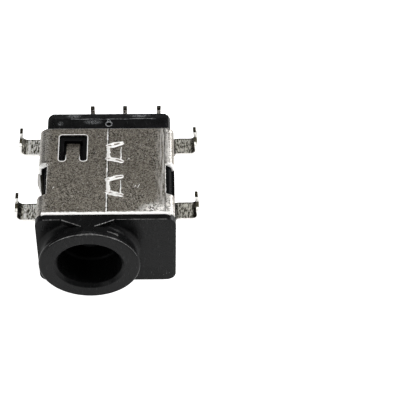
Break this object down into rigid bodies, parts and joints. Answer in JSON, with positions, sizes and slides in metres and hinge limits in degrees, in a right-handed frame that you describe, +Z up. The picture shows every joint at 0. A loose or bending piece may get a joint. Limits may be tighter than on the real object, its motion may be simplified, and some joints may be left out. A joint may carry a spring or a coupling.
{
  "type": "dc barrel jack",
  "caption": "Board-mounted dc power socket with a moulded housing, a folded metal shield on solder legs and stamped contacts.",
  "frame": {"origin": "centre of the plug mouth, in the front face of the ring round it", "axes": "+Y into the jack along the plug's axis, +X to the right as seen by the plug, +Z up, the way the legs and tails point"},
  "size_m": [0.0178, 0.0185, 0.0097],
  "materials": {
    "housing_plastic": "satin moulded black plastic",
    "plated_sheet": "satin nickel-plated sheet with bright cut edges",
    "tinned_strip": "tin-plated brass strip with bare brown cut edges"
  },
  "bodies": {
    "root": {"housing": "housing_plastic", "shield": "plated_sheet", "centre_contact": "tinned_strip", "sleeve_contact": "tinned_strip", "switch_contact": "tinned_strip"}
  },
  "joints": []
}
